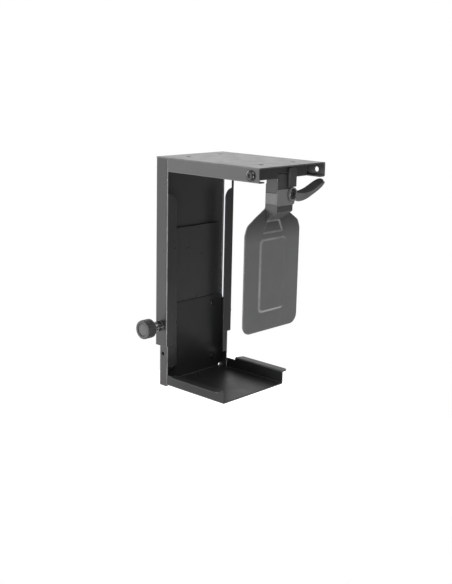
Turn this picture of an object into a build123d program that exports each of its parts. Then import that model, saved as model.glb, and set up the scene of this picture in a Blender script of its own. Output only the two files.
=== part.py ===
"""Under-desk computer holder: fixed steel frame, telescopic tray and sliding side pad.

Millimetres, +Z up. The origin is the centre of the four desk holes on the top face.
+X points from the wall channel to the open end of the beam, Y runs along the desk edge.
"""
import math
import os

from build123d import *

# ---------------------------------------------------------------- driving dimensions
sheet = 2.0              # steel sheet of every folded part
bend = 2.0               # bend radius on the middle of the sheet
beam_length = 220.0      # X, wall face to open end
frame_width = 160.0      # Y, over both flanges
beam_height = 23.0       # Z, top face to lip underside
beam_lip = 13.0          # in-turned lip, over the flange
wall_depth = 27.0        # X, wall channel over its lips
wall_bottom = -315.0     # Z, lower end of the wall channel
wall_lip = 21.0          # in-turned lip of the wall channel, over the flange
wall_lip_top = -60.0     # Z, where its lips begin
desk_pitch_x = 156.0     # desk hole pattern
desk_pitch_y = 76.0
desk_hole = 8.0
stop_from_end = 15.5     # end-stop hole to the beam's open end
stop_hole = 8.4
slip_gap = 3.0           # between wall channel and inner channel, filled by glides
lip_gap = 1.0            # the same gap behind the wall channel's lips
inner_top = -121.0       # Z at rest
tray_bottom = -386.0     # Z at rest, underside of the inner channel's foot
inner_lip_bottom = -352.0
index_pitch = 25.0
index_hole = 6.6
index_count = 7
plunger_z = -280.0       # Z of the index plunger
plunger_pin_d = 6.0
tray_front = 153.0       # tray's front edge, from the wall face
tray_height = 23.0       # tray lip over the floor
tray_ledge = 14.0        # outward ledge on each tray lip
upstand_top = -249.0     # Z, top of the tray's back leg
pad_plane = 182.0        # inner face of the pad sheet, from the wall face
pad_width = 132.0
pad_bottom = -266.0
pad_corner = 16.0
neck_width = 40.0        # hanger box, Y
neck_depth = 24.0        # hanger box, X
pivot_y = 11.0           # lever pivot
pivot_z = -46.0
lever_lift = 1.6         # travel of the brake strap over the lever's swing
lever_swing = 60.0

# ---------------------------------------------------------------- derived places
x_wall = -beam_length / 2
x_end = beam_length / 2
y_side = frame_width / 2
wall_front = x_wall + wall_depth
half = sheet / 2
stop_x = x_end - stop_from_end
stop_z = -beam_height / 2 - half
inner_back = x_wall + sheet + slip_gap
inner_front = wall_front - sheet - lip_gap
inner_side = y_side - sheet - slip_gap
index_x = x_wall + wall_depth / 2
floor_low = tray_bottom + sheet
pad_x = x_wall + pad_plane
neck_front = pad_x + neck_depth
seam = 0.2               # visible butt seams between welded sheets

os.makedirs("parts", exist_ok=True)


def save(part, label):
    """Label a finished piece and write it as parts/<label>.step."""
    part.label = label
    export_step(part, f"parts/{label}.step")


def channel_path(side, back, front, near_lip, far_lip):
    """Corner points of a C-shaped sheet on its middle line, lips facing each other."""
    edge = side - half
    return [
        (front - half, -side + near_lip),
        (front - half, -edge),
        (back + half, -edge),
        (back + half, edge),
        (front - half, edge),
        (front - half, side - far_lip),
    ]


# ---------------------------------------------------------------- top beam
# A C-channel lying on its back: plate on top, flanges down, lips turned inward.
y_mid = y_side - half
lip_z = -beam_height + half
beam_path = [
    (-y_side + beam_lip, lip_z),
    (-y_mid, lip_z),
    (-y_mid, -half),
    (y_mid, -half),
    (y_mid, lip_z),
    (y_side - beam_lip, lip_z),
]
with BuildPart() as top_beam:
    with BuildSketch(Plane.YZ.offset(x_wall)):
        with BuildLine():
            FilletPolyline(*beam_path, radius=bend)
        trace(line_width=sheet)
    extrude(amount=beam_length)
    # the wall channel takes the place of the flanges at the wall end
    with BuildSketch(Plane.XZ.offset(y_side)):
        with Locations((x_wall, -sheet)):
            Rectangle(wall_depth + seam, beam_height, align=(Align.MIN, Align.MAX))
    extrude(amount=-frame_width, mode=Mode.SUBTRACT)
    with BuildSketch(Plane.XY):
        with GridLocations(desk_pitch_x, desk_pitch_y, 2, 2):
            Circle(desk_hole / 2)
    extrude(amount=-sheet, mode=Mode.SUBTRACT)
    with BuildSketch(Plane.XZ.offset(y_side)):
        with Locations((stop_x, stop_z)):
            Circle(stop_hole / 2)
    extrude(amount=-frame_width, mode=Mode.SUBTRACT)
save(top_beam.part, "top_beam")

# ---------------------------------------------------------------- wall channel
slot_left = x_wall + 3.0
slot_right = x_wall + 22.0
slot_top = -30.0
slot_bottom = -262.0
lip_round = 17.0
plunger_hole = 12.0
wall_path = channel_path(y_side, x_wall, wall_front, wall_lip, wall_lip)
with BuildPart() as wall_channel:
    with BuildSketch(Plane.XY.offset(wall_bottom)):
        with BuildLine():
            FilletPolyline(*wall_path, radius=bend)
        trace(line_width=sheet)
    extrude(amount=-wall_bottom - sheet)
    # no lips above wall_lip_top, with round free corners where they begin
    with BuildSketch(Plane.YZ.offset(wall_front - bend - half)) as lip_cut:
        with Locations((0, -sheet)):
            Rectangle(frame_width - 2 * sheet, -wall_lip_top - sheet, align=(Align.CENTER, Align.MAX))
        with Locations((0, wall_lip_top + half)):
            Rectangle(frame_width - 2 * wall_lip, lip_round + sheet, align=(Align.CENTER, Align.MAX))
        inner_corners = lip_cut.vertices().filter_by_position(
            Axis.Y, wall_lip_top - half, wall_lip_top + half)
        notch = [v for v in inner_corners if abs(abs(v.X) - (y_side - wall_lip)) < half]
        fillet(notch, lip_round)
    extrude(amount=bend + sheet, mode=Mode.SUBTRACT)
    # cable slot in the far flange
    with BuildSketch(Plane.XZ.offset(-y_side)):
        with Locations(((slot_left + slot_right) / 2, (slot_top + slot_bottom) / 2)):
            SlotOverall(slot_top - slot_bottom, slot_right - slot_left, rotation=90)
    extrude(amount=sheet, mode=Mode.SUBTRACT)
    # plunger holes in both flanges
    with BuildSketch(Plane.XZ.offset(y_side)):
        with Locations((index_x, plunger_z)):
            Circle(plunger_hole / 2)
    extrude(amount=-frame_width, mode=Mode.SUBTRACT)
save(wall_channel.part, "wall_channel")

# ---------------------------------------------------------------- end-stop screw and nut
screw_d = 8.0
head_d = 17.0
head_h = 4.4
nut_flats = 13.0
nut_h = 6.0
stop_reach = 12.0
with BuildPart() as end_stop_screw:
    with BuildSketch(Plane.XZ.offset(y_side)):
        with Locations((stop_x, stop_z)):
            Circle(head_d / 2)
    extrude(amount=1.0)
    with BuildSketch(Plane.XZ.offset(y_side + 1.0)):
        with Locations((stop_x, stop_z)):
            Circle(head_d / 2 - 1.5)
    extrude(amount=head_h - 1.0, taper=28)
    with BuildSketch(Plane.XZ.offset(y_side)):
        with Locations((stop_x, stop_z)):
            Circle(screw_d / 2)
    extrude(amount=-stop_reach)
    with BuildSketch(Plane.XZ.offset(y_side + head_h)):
        with Locations((stop_x, stop_z)):
            RegularPolygon(radius=2.5, side_count=6, major_radius=False)
    extrude(amount=-2.6, mode=Mode.SUBTRACT)
save(end_stop_screw.part, "end_stop_screw")

with BuildPart() as end_stop_nut:
    with BuildSketch(Plane.XZ.offset(y_side - sheet)):
        with Locations((stop_x, stop_z)):
            RegularPolygon(radius=nut_flats / 2, side_count=6, major_radius=False)
            Circle(screw_d / 2, mode=Mode.SUBTRACT)
    extrude(amount=-nut_h)
save(end_stop_nut.part, "end_stop_nut")

# ---------------------------------------------------------------- index plunger, fixed pieces
body_d = 17.5
body_length = 12.5
nose_length = 7.0
nose_end_d = 11.4
thread_d = plunger_hole
thin_nut_h = 2.4
cavity_d = 9.6
cavity_out = 17.0        # cavity's outer end, from the flange face
stem_d = 4.0
run_clear = 0.05         # radial clearance of running fits
plunger_axis = Plane.XZ.offset(y_side)
with BuildPart() as plunger_body:
    with BuildSketch(plunger_axis):
        with Locations((index_x, plunger_z)):
            Circle(body_d / 2)
    extrude(amount=body_length)
    with BuildSketch(Plane.XZ.offset(y_side + body_length)):
        with Locations((index_x, plunger_z)):
            Circle(body_d / 2 - 1.0)
    with BuildSketch(Plane.XZ.offset(y_side + body_length + nose_length)):
        with Locations((index_x, plunger_z)):
            Circle(nose_end_d / 2)
    loft()
    with BuildSketch(plunger_axis):
        with Locations((index_x, plunger_z)):
            Circle(thread_d / 2)
    extrude(amount=-sheet - thin_nut_h)
    with BuildSketch(plunger_axis.offset(cavity_out)):
        with Locations((index_x, plunger_z)):
            Circle(cavity_d / 2)
    extrude(amount=-cavity_out + 0.5, mode=Mode.SUBTRACT)
    with BuildSketch(plunger_axis.offset(0.5)):
        with Locations((index_x, plunger_z)):
            Circle(plunger_pin_d / 2 + run_clear)
    extrude(amount=-0.5 - sheet - thin_nut_h, mode=Mode.SUBTRACT)
    with BuildSketch(plunger_axis.offset(body_length + nose_length)):
        with Locations((index_x, plunger_z)):
            Circle(stem_d / 2 + run_clear)
    extrude(amount=-nose_length, mode=Mode.SUBTRACT)
save(plunger_body.part, "plunger_body")

with BuildPart() as plunger_nut:
    with BuildSketch(Plane.XZ.offset(y_side - sheet)):
        with Locations((index_x, plunger_z)):
            RegularPolygon(radius=8.5, side_count=6, major_radius=False)
            Circle(thread_d / 2, mode=Mode.SUBTRACT)
    extrude(amount=-thin_nut_h)
save(plunger_nut.part, "plunger_nut")

plug_d = 18.0
plug_h = 5.0
with BuildPart() as spare_hole_plug:
    with BuildSketch(Plane.XZ.offset(-y_side)):
        with Locations((index_x, plunger_z)):
            Circle(plug_d / 2)
    extrude(amount=-plug_h)
    fillet(spare_hole_plug.faces().sort_by(Axis.Y)[-1].edges(), 1.5)
    with BuildSketch(Plane.XZ.offset(-y_side)):
        with Locations((index_x, plunger_z)):
            Circle(thread_d / 2)
    extrude(amount=sheet + 0.4)
save(spare_hole_plug.part, "spare_hole_plug")

# ---------------------------------------------------------------- index plunger, moving pieces
pin_tip = sheet - 0.5    # how far the parked tip reaches into the flange
collar_out = 11.5        # collar's outer face, from the flange face
collar_h = 2.0
knob_d = 32.0
knob_back = 20.5
knob_face = 42.0
knob_recess_d = 17.4
knob_recess = 8.2
stem_end = 38.0
with BuildPart() as plunger_pin:
    with BuildSketch(plunger_axis.offset(-pin_tip)):
        with Locations((index_x, plunger_z)):
            Circle(plunger_pin_d / 2)
    extrude(amount=pin_tip + collar_out)
    chamfer(plunger_pin.faces().sort_by(Axis.Y)[-1].edges(), 0.8)
    with BuildSketch(plunger_axis.offset(collar_out - collar_h)):
        with Locations((index_x, plunger_z)):
            Circle(cavity_d / 2 - 0.3)
    extrude(amount=collar_h)
    with BuildSketch(plunger_axis.offset(collar_out)):
        with Locations((index_x, plunger_z)):
            Circle(stem_d / 2)
    extrude(amount=stem_end - collar_out)
save(plunger_pin.part, "plunger_pin")

wire = 0.8
spring_turns = 4
spring_space = cavity_out - collar_out
with BuildPart() as plunger_spring:
    with Locations(Location((index_x, -y_side - collar_out - wire / 2, plunger_z), (90, 0, 0))):
        for turn in range(spring_turns):
            rise = turn * (spring_space - wire) / (spring_turns - 1)
            with Locations((0, 0, rise)):
                Torus(cavity_d / 2 - 1.2, wire / 2)
save(plunger_spring.part, "plunger_spring")

flutes = 24
cap_d = 21.0
cap_deep = 2.4
with BuildPart() as plunger_knob:
    with BuildSketch(plunger_axis.offset(knob_back)):
        with Locations((index_x, plunger_z)):
            Circle(knob_d / 2)
            with PolarLocations(knob_d / 2 + 0.5, flutes):
                Circle(1.3, mode=Mode.SUBTRACT)
    extrude(amount=knob_face - knob_back)
    with BuildSketch(plunger_axis.offset(knob_face)):
        with Locations((index_x, plunger_z)):
            Circle(cap_d / 2)
    extrude(amount=-cap_deep, mode=Mode.SUBTRACT)
    with BuildSketch(plunger_axis.offset(knob_back)):
        with Locations((index_x, plunger_z)):
            Circle(knob_recess_d / 2)
    extrude(amount=knob_recess, mode=Mode.SUBTRACT)
    with BuildSketch(plunger_axis.offset(knob_back)):
        with Locations((index_x, plunger_z)):
            Circle(stem_d / 2)
    extrude(amount=stem_end - knob_back, mode=Mode.SUBTRACT)
save(plunger_knob.part, "plunger_knob")

cap_h = 1.4
with BuildPart() as knob_cap:
    with BuildSketch(plunger_axis.offset(knob_face - cap_deep)):
        with Locations((index_x, plunger_z)):
            Circle(cap_d / 2)
    extrude(amount=cap_h)
    fillet(knob_cap.faces().sort_by(Axis.Y)[0].edges(), 0.5)
save(knob_cap.part, "knob_cap")

# ---------------------------------------------------------------- inner channel
rivet_d = 4.8
foot_rivet_x = x_wall + 23.5
foot_reach = 29.0        # foot under the tray floor, from the channel's back
foot_width = 100.0
relief_r = 3.2           # relief hole where the tray's leg, floor and far lip meet
relief_y = 70.5
relief_z = floor_low + 3.0
near_lip = 22.0          # in-turned lips of the inner channel, over the flanges
far_lip = 12.7
inner_path = channel_path(inner_side, inner_back, inner_front, near_lip, far_lip)
side_cut = 9.0           # the far corner is open above the slot's lower end
side_cut_front = inner_front - 4.0
with BuildPart() as inner_channel:
    with BuildSketch(Plane.XY.offset(tray_bottom)):
        with BuildLine():
            FilletPolyline(*inner_path, radius=bend)
        trace(line_width=sheet)
    extrude(amount=inner_top - tray_bottom)
    # lips stop above the tray
    with BuildSketch(Plane.XZ.offset(inner_side - sheet)):
        with Locations((inner_front - bend, inner_lip_bottom)):
            Rectangle(bend + sheet, inner_lip_bottom - tray_bottom, align=(Align.MIN, Align.MAX))
    extrude(amount=-2 * (inner_side - sheet), mode=Mode.SUBTRACT)
    # index holes in the near flange
    with BuildSketch(Plane.XZ.offset(inner_side)):
        for step in range(index_count):
            with Locations((index_x, plunger_z + (step - 2) * index_pitch)):
                Circle(index_hole / 2)
    extrude(amount=-sheet, mode=Mode.SUBTRACT)
    # open-topped cable slot in the far flange, taking in the corner behind it
    with BuildSketch(Plane.XZ.offset(-inner_side)) as side_slot:
        with Locations((side_cut_front, slot_bottom)):
            Rectangle(30.0, inner_top - slot_bottom, align=(Align.MAX, Align.MIN))
        fillet(side_slot.vertices().sort_by(Axis.Y)[:2], 5.0)
    extrude(amount=side_cut, mode=Mode.SUBTRACT)
    # foot folded forward under the tray
    with BuildSketch(Plane.XY.offset(tray_bottom)):
        with Locations((inner_back + sheet, 0)):
            Rectangle(foot_reach - sheet, foot_width, align=(Align.MIN, Align.CENTER))
    extrude(amount=sheet)
    foot_front = inner_channel.edges().filter_by(Axis.Z).filter_by_position(
        Axis.X, inner_back + foot_reach - half, inner_back + foot_reach + half)
    fillet(foot_front, 6.0)
    with BuildSketch(Plane.YZ.offset(inner_back)):
        with Locations((relief_y, relief_z)):
            Circle(relief_r)
    extrude(amount=sheet, mode=Mode.SUBTRACT)
    with BuildSketch(Plane.XY.offset(tray_bottom)):
        with Locations((foot_rivet_x, 0)):
            Circle(rivet_d / 2)
    extrude(amount=sheet, mode=Mode.SUBTRACT)
save(inner_channel.part, "inner_channel")

# ---------------------------------------------------------------- tray
# Back leg against the inner channel, floor, two side lips and an outward ledge on each.
tray_x = x_wall + tray_front
leg_back = inner_back + sheet
leg_half_width = inner_side - sheet - 1.0
lip_back = inner_front + seam
lip_mid = inner_side - half
floor_mid = floor_low + half
ledge_top = floor_low + tray_height
ledge_out = inner_side + tray_ledge
ledge_back = x_wall + 44.0
ledge_straight = x_wall + 50.0
lip_step = 5.0           # the lips are lower behind the ledges
tray_path = [
    (-ledge_out, ledge_top - half),
    (-lip_mid, ledge_top - half),
    (-lip_mid, floor_mid),
    (lip_mid, floor_mid),
    (lip_mid, ledge_top - half),
    (ledge_out, ledge_top - half),
]
leg_path = [
    (leg_back + half, upstand_top),
    (leg_back + half, floor_mid),
    (lip_back + sheet, floor_mid),
]
with BuildPart() as tray:
    with BuildSketch(Plane.YZ.offset(lip_back)):
        with BuildLine():
            FilletPolyline(*tray_path, radius=bend)
        trace(line_width=sheet)
    extrude(amount=tray_x - lip_back)
    with BuildSketch(Plane.XZ.offset(leg_half_width)):
        with BuildLine():
            FilletPolyline(*leg_path, radius=bend)
        trace(line_width=sheet)
    extrude(amount=-2 * leg_half_width)
    # ledges taper in at the back and have round front corners
    with BuildSketch(Plane.XY.offset(ledge_top)):
        with BuildLine():
            Polyline(
                (lip_back, inner_side + half),
                (ledge_back, inner_side + half),
                (ledge_straight, ledge_out),
                (ledge_straight, ledge_out + sheet),
                (lip_back, ledge_out + sheet),
                close=True,
            )
        make_face()
        mirror(about=Plane.XZ)
    extrude(amount=-sheet, mode=Mode.SUBTRACT)
    outer_corners = tray.edges().filter_by(Axis.Z).filter_by_position(
        Axis.X, tray_x - half, tray_x + half)
    fillet([e for e in outer_corners if abs(e.center().Y) > ledge_out - half], 8.0)
    with BuildSketch(Plane.XZ.offset(inner_side + sheet)):
        with Locations((lip_back, ledge_top)):
            Rectangle(ledge_back - lip_back, lip_step, align=(Align.MIN, Align.MAX))
    extrude(amount=-2 * (inner_side + sheet), mode=Mode.SUBTRACT)
    with BuildSketch(Plane.YZ.offset(leg_back)):
        with Locations((relief_y, relief_z)):
            Circle(relief_r)
    extrude(amount=3 * sheet, mode=Mode.SUBTRACT)
    with BuildSketch(Plane.XY.offset(floor_low)):
        with Locations((foot_rivet_x, 0)):
            Circle(rivet_d / 2)
    extrude(amount=sheet, mode=Mode.SUBTRACT)
    leg_corners = tray.edges().filter_by(Axis.X).filter_by_position(
        Axis.Z, upstand_top - half, upstand_top + half)
    chamfer([e for e in leg_corners if abs(e.center().Y) > leg_half_width - half], 6.0)
save(tray.part, "tray")

# ---------------------------------------------------------------- tray rivets
rivet_head_d = 9.0
rivet_head_h = 1.4
leg_rivets = [(-48.0, -262.0), (48.0, -262.0), (-48.0, -362.0), (48.0, -362.0)]
leg_face = leg_back + sheet
with BuildPart() as tray_rivets:
    for y_rivet, z_rivet in leg_rivets:
        with BuildSketch(Plane.YZ.offset(leg_face)):
            with Locations((y_rivet, z_rivet)):
                Circle(rivet_head_d / 2)
        extrude(amount=rivet_head_h, taper=30)
        with BuildSketch(Plane.YZ.offset(inner_back - 1.2)):
            with Locations((y_rivet, z_rivet)):
                Circle(rivet_head_d / 2 - 0.6)
        extrude(amount=1.2)
    # clinched flush through the floor and the foot, so the computer stands flat
    with BuildSketch(Plane.XY.offset(tray_bottom)):
        with Locations((foot_rivet_x, 0)):
            Circle(rivet_d / 2)
    extrude(amount=2 * sheet - 0.05)
save(tray_rivets.part, "tray_rivets")

# ---------------------------------------------------------------- glides
glide = slip_gap - 0.2
lip_glide = lip_gap - 0.2
glide_length = 20.0
glide_width = 8.0
lip_glide_y = inner_side - 5.5
web_glide_y = inner_side - 16.0
side_glide_z = wall_bottom + 2.0 + glide_length / 2
with BuildPart() as inner_glides:
    for way in (-1, 1):
        with BuildSketch(Plane.YZ.offset(inner_front)):
            with Locations((way * lip_glide_y, inner_top - glide_length / 2 - 2.0)):
                RectangleRounded(glide_width, glide_length, 2.0)
        extrude(amount=lip_glide)
        with BuildSketch(Plane.YZ.offset(inner_back)):
            with Locations((way * web_glide_y, inner_top - glide_length / 2 - 2.0)):
                RectangleRounded(glide_width, glide_length, 2.0)
        extrude(amount=-glide)
save(inner_glides.part, "inner_glides")

with BuildPart() as wall_glides:
    for way in (-1, 1):
        with BuildSketch(Plane.YZ.offset(wall_front - sheet)):
            with Locations((way * lip_glide_y, side_glide_z)):
                RectangleRounded(glide_width, glide_length, 2.0)
        extrude(amount=-lip_glide)
        with BuildSketch(Plane.YZ.offset(x_wall + sheet)):
            with Locations((way * web_glide_y, side_glide_z)):
                RectangleRounded(glide_width, glide_length, 2.0)
        extrude(amount=glide)
    with BuildSketch(Plane.XZ.offset(y_side - sheet)):
        with Locations((index_x, side_glide_z - 2.0)):
            RectangleRounded(glide_width, glide_length - 6.0, 2.0)
    extrude(amount=-glide)
    with BuildSketch(Plane.XZ.offset(-y_side + sheet)):
        with Locations((index_x, side_glide_z - 2.0)):
            RectangleRounded(glide_width, glide_length - 6.0, 2.0)
    extrude(amount=glide)
save(wall_glides.part, "wall_glides")

# ---------------------------------------------------------------- pad carriage
# A plate on two nylon runners that ride on the beam's lips.
lip_top = -beam_height + sheet
runner_floor = 3.0
plate_low = lip_top + 0.1 + runner_floor
plate_t = 3.0
plate_back = x_wall + 135.0
plate_front = x_wall + 182.0
plate_half_width = y_side - sheet - 6.0
runner_half_width = y_side - sheet - 0.6
bolt_d = 6.0
bolt_x = (plate_back + 14.0, plate_front - 12.0)
skirt_front = x_end - 13.0
skirt_t = 2.0
skirt_low = lip_top + 0.5
skirt_top = -4.0
skirt_bridge = 8.4       # its height over the hanger's tab
skirt_inside = neck_width / 2 + 0.5
skirt_near = 64.0        # reach of the skirt towards the near and far flanges
skirt_far = 50.0
with BuildPart() as carriage_plate:
    with BuildSketch(Plane.XY.offset(plate_low)):
        with Locations(((plate_back + plate_front) / 2, 0)):
            RectangleRounded(plate_front - plate_back, 2 * plate_half_width, 3.0)
        with Locations([(x_bolt, 0) for x_bolt in bolt_x]):
            Circle(bolt_d / 2, mode=Mode.SUBTRACT)
        with Locations((plate_front - 1.0, -skirt_near)):
            Rectangle(skirt_front - plate_front + 1.0, skirt_near - skirt_inside, align=Align.MIN)
        with Locations((plate_front - 1.0, skirt_inside)):
            Rectangle(skirt_front - plate_front + 1.0, skirt_far - skirt_inside, align=Align.MIN)
    extrude(amount=plate_t)
    # skirt that closes the beam's mouth on both sides of the hanger
    with BuildSketch(Plane.YZ.offset(skirt_front)):
        with Locations((-skirt_near, skirt_low)):
            Rectangle(skirt_near - skirt_inside, skirt_top - skirt_low, align=Align.MIN)
        with Locations((skirt_inside, skirt_low)):
            Rectangle(skirt_far - skirt_inside, skirt_top - skirt_low, align=Align.MIN)
        with Locations((0, skirt_top)):
            Rectangle(2 * skirt_inside, skirt_bridge, align=(Align.CENTER, Align.MAX))
    extrude(amount=-skirt_t)
save(carriage_plate.part, "carriage_plate")

runner_path = [
    (plate_half_width - 8.0, plate_low + plate_t + 1.5),
    (runner_half_width - 1.5, plate_low + plate_t + 1.5),
    (runner_half_width - 1.5, plate_low - 1.5),
    (plate_half_width - 8.0, plate_low - 1.5),
]
with BuildPart() as carriage_runners:
    with BuildSketch(Plane.YZ.offset(plate_back)):
        with BuildLine():
            FilletPolyline(*runner_path, radius=1.6)
        trace(line_width=runner_floor)
        with Locations((plate_half_width, plate_low + plate_t / 2)):
            Rectangle(runner_half_width - plate_half_width - 2.0, plate_t, align=(Align.MIN, Align.CENTER))
        mirror(about=Plane.YZ)
    extrude(amount=plate_front - plate_back)
save(carriage_runners.part, "carriage_runners")

# ---------------------------------------------------------------- hanger bracket
# Folded box: tab on the carriage plate, front web, two side flanges with in-turned feet.
tab_low = plate_low + plate_t
tab_mid = tab_low + half
neck_half = neck_width / 2
web_mid = neck_front - half
web_low = -73.0
ramp_low = -87.0
foot_top = -26.0
foot_width_y = 9.0
strap_slot_w = 4.4
strap_slot_z = -24.0
hanger_path = [
    (plate_back + 4.0, tab_mid),
    (web_mid, tab_mid),
    (web_mid, web_low),
    (pad_x + sheet + half, ramp_low),
]
with BuildPart() as hanger_bracket:
    with BuildSketch(Plane.XZ.offset(neck_half)):
        with BuildLine():
            FilletPolyline(*hanger_path, radius=bend)
        trace(line_width=sheet)
    extrude(amount=-neck_width)
    for y_flange in (neck_half, -neck_half + sheet):
        with BuildSketch(Plane.XZ.offset(y_flange)):
            with BuildLine():
                Polyline(
                    (pad_x + sheet, tab_mid),
                    (web_mid, tab_mid),
                    (web_mid, web_low),
                    (pad_x + sheet, ramp_low),
                    close=True,
                )
            make_face()
        extrude(amount=-sheet)
    for y_foot in (-neck_half + foot_width_y / 2, neck_half - foot_width_y / 2):
        with BuildSketch(Plane.YZ.offset(pad_x + sheet)):
            with Locations((y_foot, (foot_top + ramp_low) / 2)):
                Rectangle(foot_width_y, foot_top - ramp_low)
        extrude(amount=sheet)
    with BuildSketch(Plane.XY.offset(tab_low)):
        with Locations([(x_bolt, 0) for x_bolt in bolt_x]):
            Circle(bolt_d / 2)
    extrude(amount=sheet, mode=Mode.SUBTRACT)
    # pivot hole and the slot that guides the brake strap
    with BuildSketch(Plane.YZ.offset(neck_front)):
        with Locations((pivot_y, pivot_z)):
            Circle(3.0)
        with Locations((pivot_y, strap_slot_z)):
            SlotOverall(strap_slot_w + 4.0, strap_slot_w, rotation=90)
    extrude(amount=-sheet, mode=Mode.SUBTRACT)
    upright_edges = hanger_bracket.edges().filter_by(Axis.Z).filter_by_position(
        Axis.X, neck_front - 0.1, neck_front + 0.1)
    fillet([e for e in upright_edges if e.length > neck_width / 2], 1.8)
save(hanger_bracket.part, "hanger_bracket")

# ---------------------------------------------------------------- carriage bolts and nuts
with BuildPart() as carriage_bolts:
    for x_bolt in bolt_x:
        with BuildSketch(Plane.XY.offset(tab_low + sheet)):
            with Locations((x_bolt, 0)):
                Circle(5.2)
        extrude(amount=3.3, taper=18)
        with BuildSketch(Plane.XY.offset(tab_low + sheet + 3.3)):
            with Locations((x_bolt, 0)):
                RegularPolygon(radius=2.0, side_count=6, major_radius=False)
        extrude(amount=-2.0, mode=Mode.SUBTRACT)
        with BuildSketch(Plane.XY.offset(tab_low + sheet)):
            with Locations((x_bolt, 0)):
                Circle(bolt_d / 2)
        extrude(amount=-sheet - plate_t - 6.0)
save(carriage_bolts.part, "carriage_bolts")

with BuildPart() as carriage_nuts:
    for x_bolt in bolt_x:
        with BuildSketch(Plane.XY.offset(plate_low)):
            with Locations((x_bolt, 0)):
                RegularPolygon(radius=5.0, side_count=6, major_radius=False)
                Circle(bolt_d / 2, mode=Mode.SUBTRACT)
        extrude(amount=-5.0)
save(carriage_nuts.part, "carriage_nuts")

# ---------------------------------------------------------------- side pad
# One pressed sheet: neck, shoulders, raised panel and a sunk trapezoid above it.
pad_half = pad_width / 2
neck_top = -30.0
neck_plate_half = neck_half - 1.0
panel_half = 33.0
panel_top = -116.0
panel_bottom = -236.0
panel_rise = 2.6
panel_corner = 9.0
press_taper = 40.0
pocket_top = -88.0
pocket_bottom = -110.0
pocket_deep = 2.4
pocket_top_half = 16.0
pocket_bottom_half = 27.0
shoulder = [
    (neck_plate_half, neck_top),
    (neck_plate_half, -69.0),
    (44.0, -83.0),
    (61.0, -94.0),
    (pad_half, -107.0),
    (pad_half, pad_bottom),
]
left_side = [(-y_point, z_point) for y_point, z_point in reversed(shoulder)]
outline_radii = [2.0, 6.0, 10.0, 14.0, 18.0, pad_corner]


def pocket_outline(inset):
    """Corners of the sunk trapezoid, moved in by inset."""
    upper = pocket_top_half - inset
    lower = pocket_bottom_half - inset
    return [
        (-upper, pocket_top - inset),
        (upper, pocket_top - inset),
        (lower, pocket_bottom + inset),
        (-lower, pocket_bottom + inset),
    ]


with BuildPart() as pad_plate:
    with BuildSketch(Plane.YZ.offset(pad_x)):
        with BuildLine():
            FilletPolyline(
                *shoulder, *left_side,
                radius=outline_radii + outline_radii[::-1],
                close=True,
            )
        make_face()
    extrude(amount=sheet)
    # raised panel, with its hollow on the computer's side
    with BuildSketch(Plane.YZ.offset(pad_x + sheet)):
        with Locations((0, (panel_top + panel_bottom) / 2)):
            RectangleRounded(2 * panel_half, panel_top - panel_bottom, panel_corner)
    extrude(amount=panel_rise, taper=press_taper)
    with BuildSketch(Plane.YZ.offset(pad_x)):
        with Locations((0, (panel_top + panel_bottom) / 2)):
            RectangleRounded(2 * panel_half - 1.0, panel_top - panel_bottom - 1.0, panel_corner - 0.5)
    extrude(amount=panel_rise, taper=press_taper, mode=Mode.SUBTRACT)
    # sunk trapezoid between the neck and the panel
    with BuildSketch(Plane.YZ.offset(pad_x)):
        with BuildLine():
            FilletPolyline(*pocket_outline(0.0), radius=3.0, close=True)
        make_face()
    extrude(amount=-pocket_deep, taper=press_taper)
    with BuildSketch(Plane.YZ.offset(pad_x + sheet)):
        with BuildLine():
            FilletPolyline(*pocket_outline(0.5), radius=2.6, close=True)
        make_face()
    extrude(amount=-pocket_deep, taper=press_taper, mode=Mode.SUBTRACT)
save(pad_plate.part, "pad_plate")

liner_t = 3.0
liner_top = -122.0
with BuildPart() as pad_liner:
    with BuildSketch(Plane.YZ.offset(pad_x)):
        with Locations((0, (liner_top + pad_bottom) / 2)):
            RectangleRounded(pad_width - 10.0, liner_top - pad_bottom - 8.0, pad_corner - 4.0)
    extrude(amount=-liner_t)
save(pad_liner.part, "pad_liner")

pad_rivet_z = (-40.0, -72.0)
with BuildPart() as pad_rivets:
    for y_rivet in (-neck_half + 6.0, neck_half - 6.0):
        for z_rivet in pad_rivet_z:
            with BuildSketch(Plane.YZ.offset(pad_x)):
                with Locations((y_rivet, z_rivet)):
                    Circle(3.6)
            extrude(amount=-1.3, taper=30)
            with BuildSketch(Plane.YZ.offset(pad_x + 2 * sheet)):
                with Locations((y_rivet, z_rivet)):
                    Circle(2.8)
            extrude(amount=1.0)
save(pad_rivets.part, "pad_rivets")

# ---------------------------------------------------------------- clamp housing
# Moulded shroud round the front and both sides of the hanger, at the lever's height.
housing_wall = 1.5
housing_top = -44.0
housing_low = -61.0
panel_z = -50.8          # middle of its taller front panel
panel_height = 25.5
housing_half = neck_half + housing_wall
with BuildPart() as clamp_housing:
    with BuildSketch(Plane.XY.offset(housing_low)) as housing_plan:
        with Locations((pad_x + sheet, 0)):
            Rectangle(neck_depth - sheet + housing_wall, 2 * housing_half, align=(Align.MIN, Align.CENTER))
        fillet(housing_plan.vertices().group_by(Axis.X)[-1], 3.2)
        with Locations((pad_x + sheet, 0)):
            Rectangle(neck_depth - sheet, neck_width, align=(Align.MIN, Align.CENTER), mode=Mode.SUBTRACT)
    extrude(amount=housing_top - housing_low)
    with BuildSketch(Plane.YZ.offset(neck_front)):
        with Locations((0, panel_z)):
            RectangleRounded(2 * housing_half, panel_height, 5.0)
    extrude(amount=housing_wall)
    with BuildSketch(Plane.YZ.offset(neck_front + housing_wall)):
        with Locations((pivot_y, pivot_z)):
            Circle(3.0)
    extrude(amount=-2 * housing_wall, mode=Mode.SUBTRACT)
save(clamp_housing.part, "clamp_housing")

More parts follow.
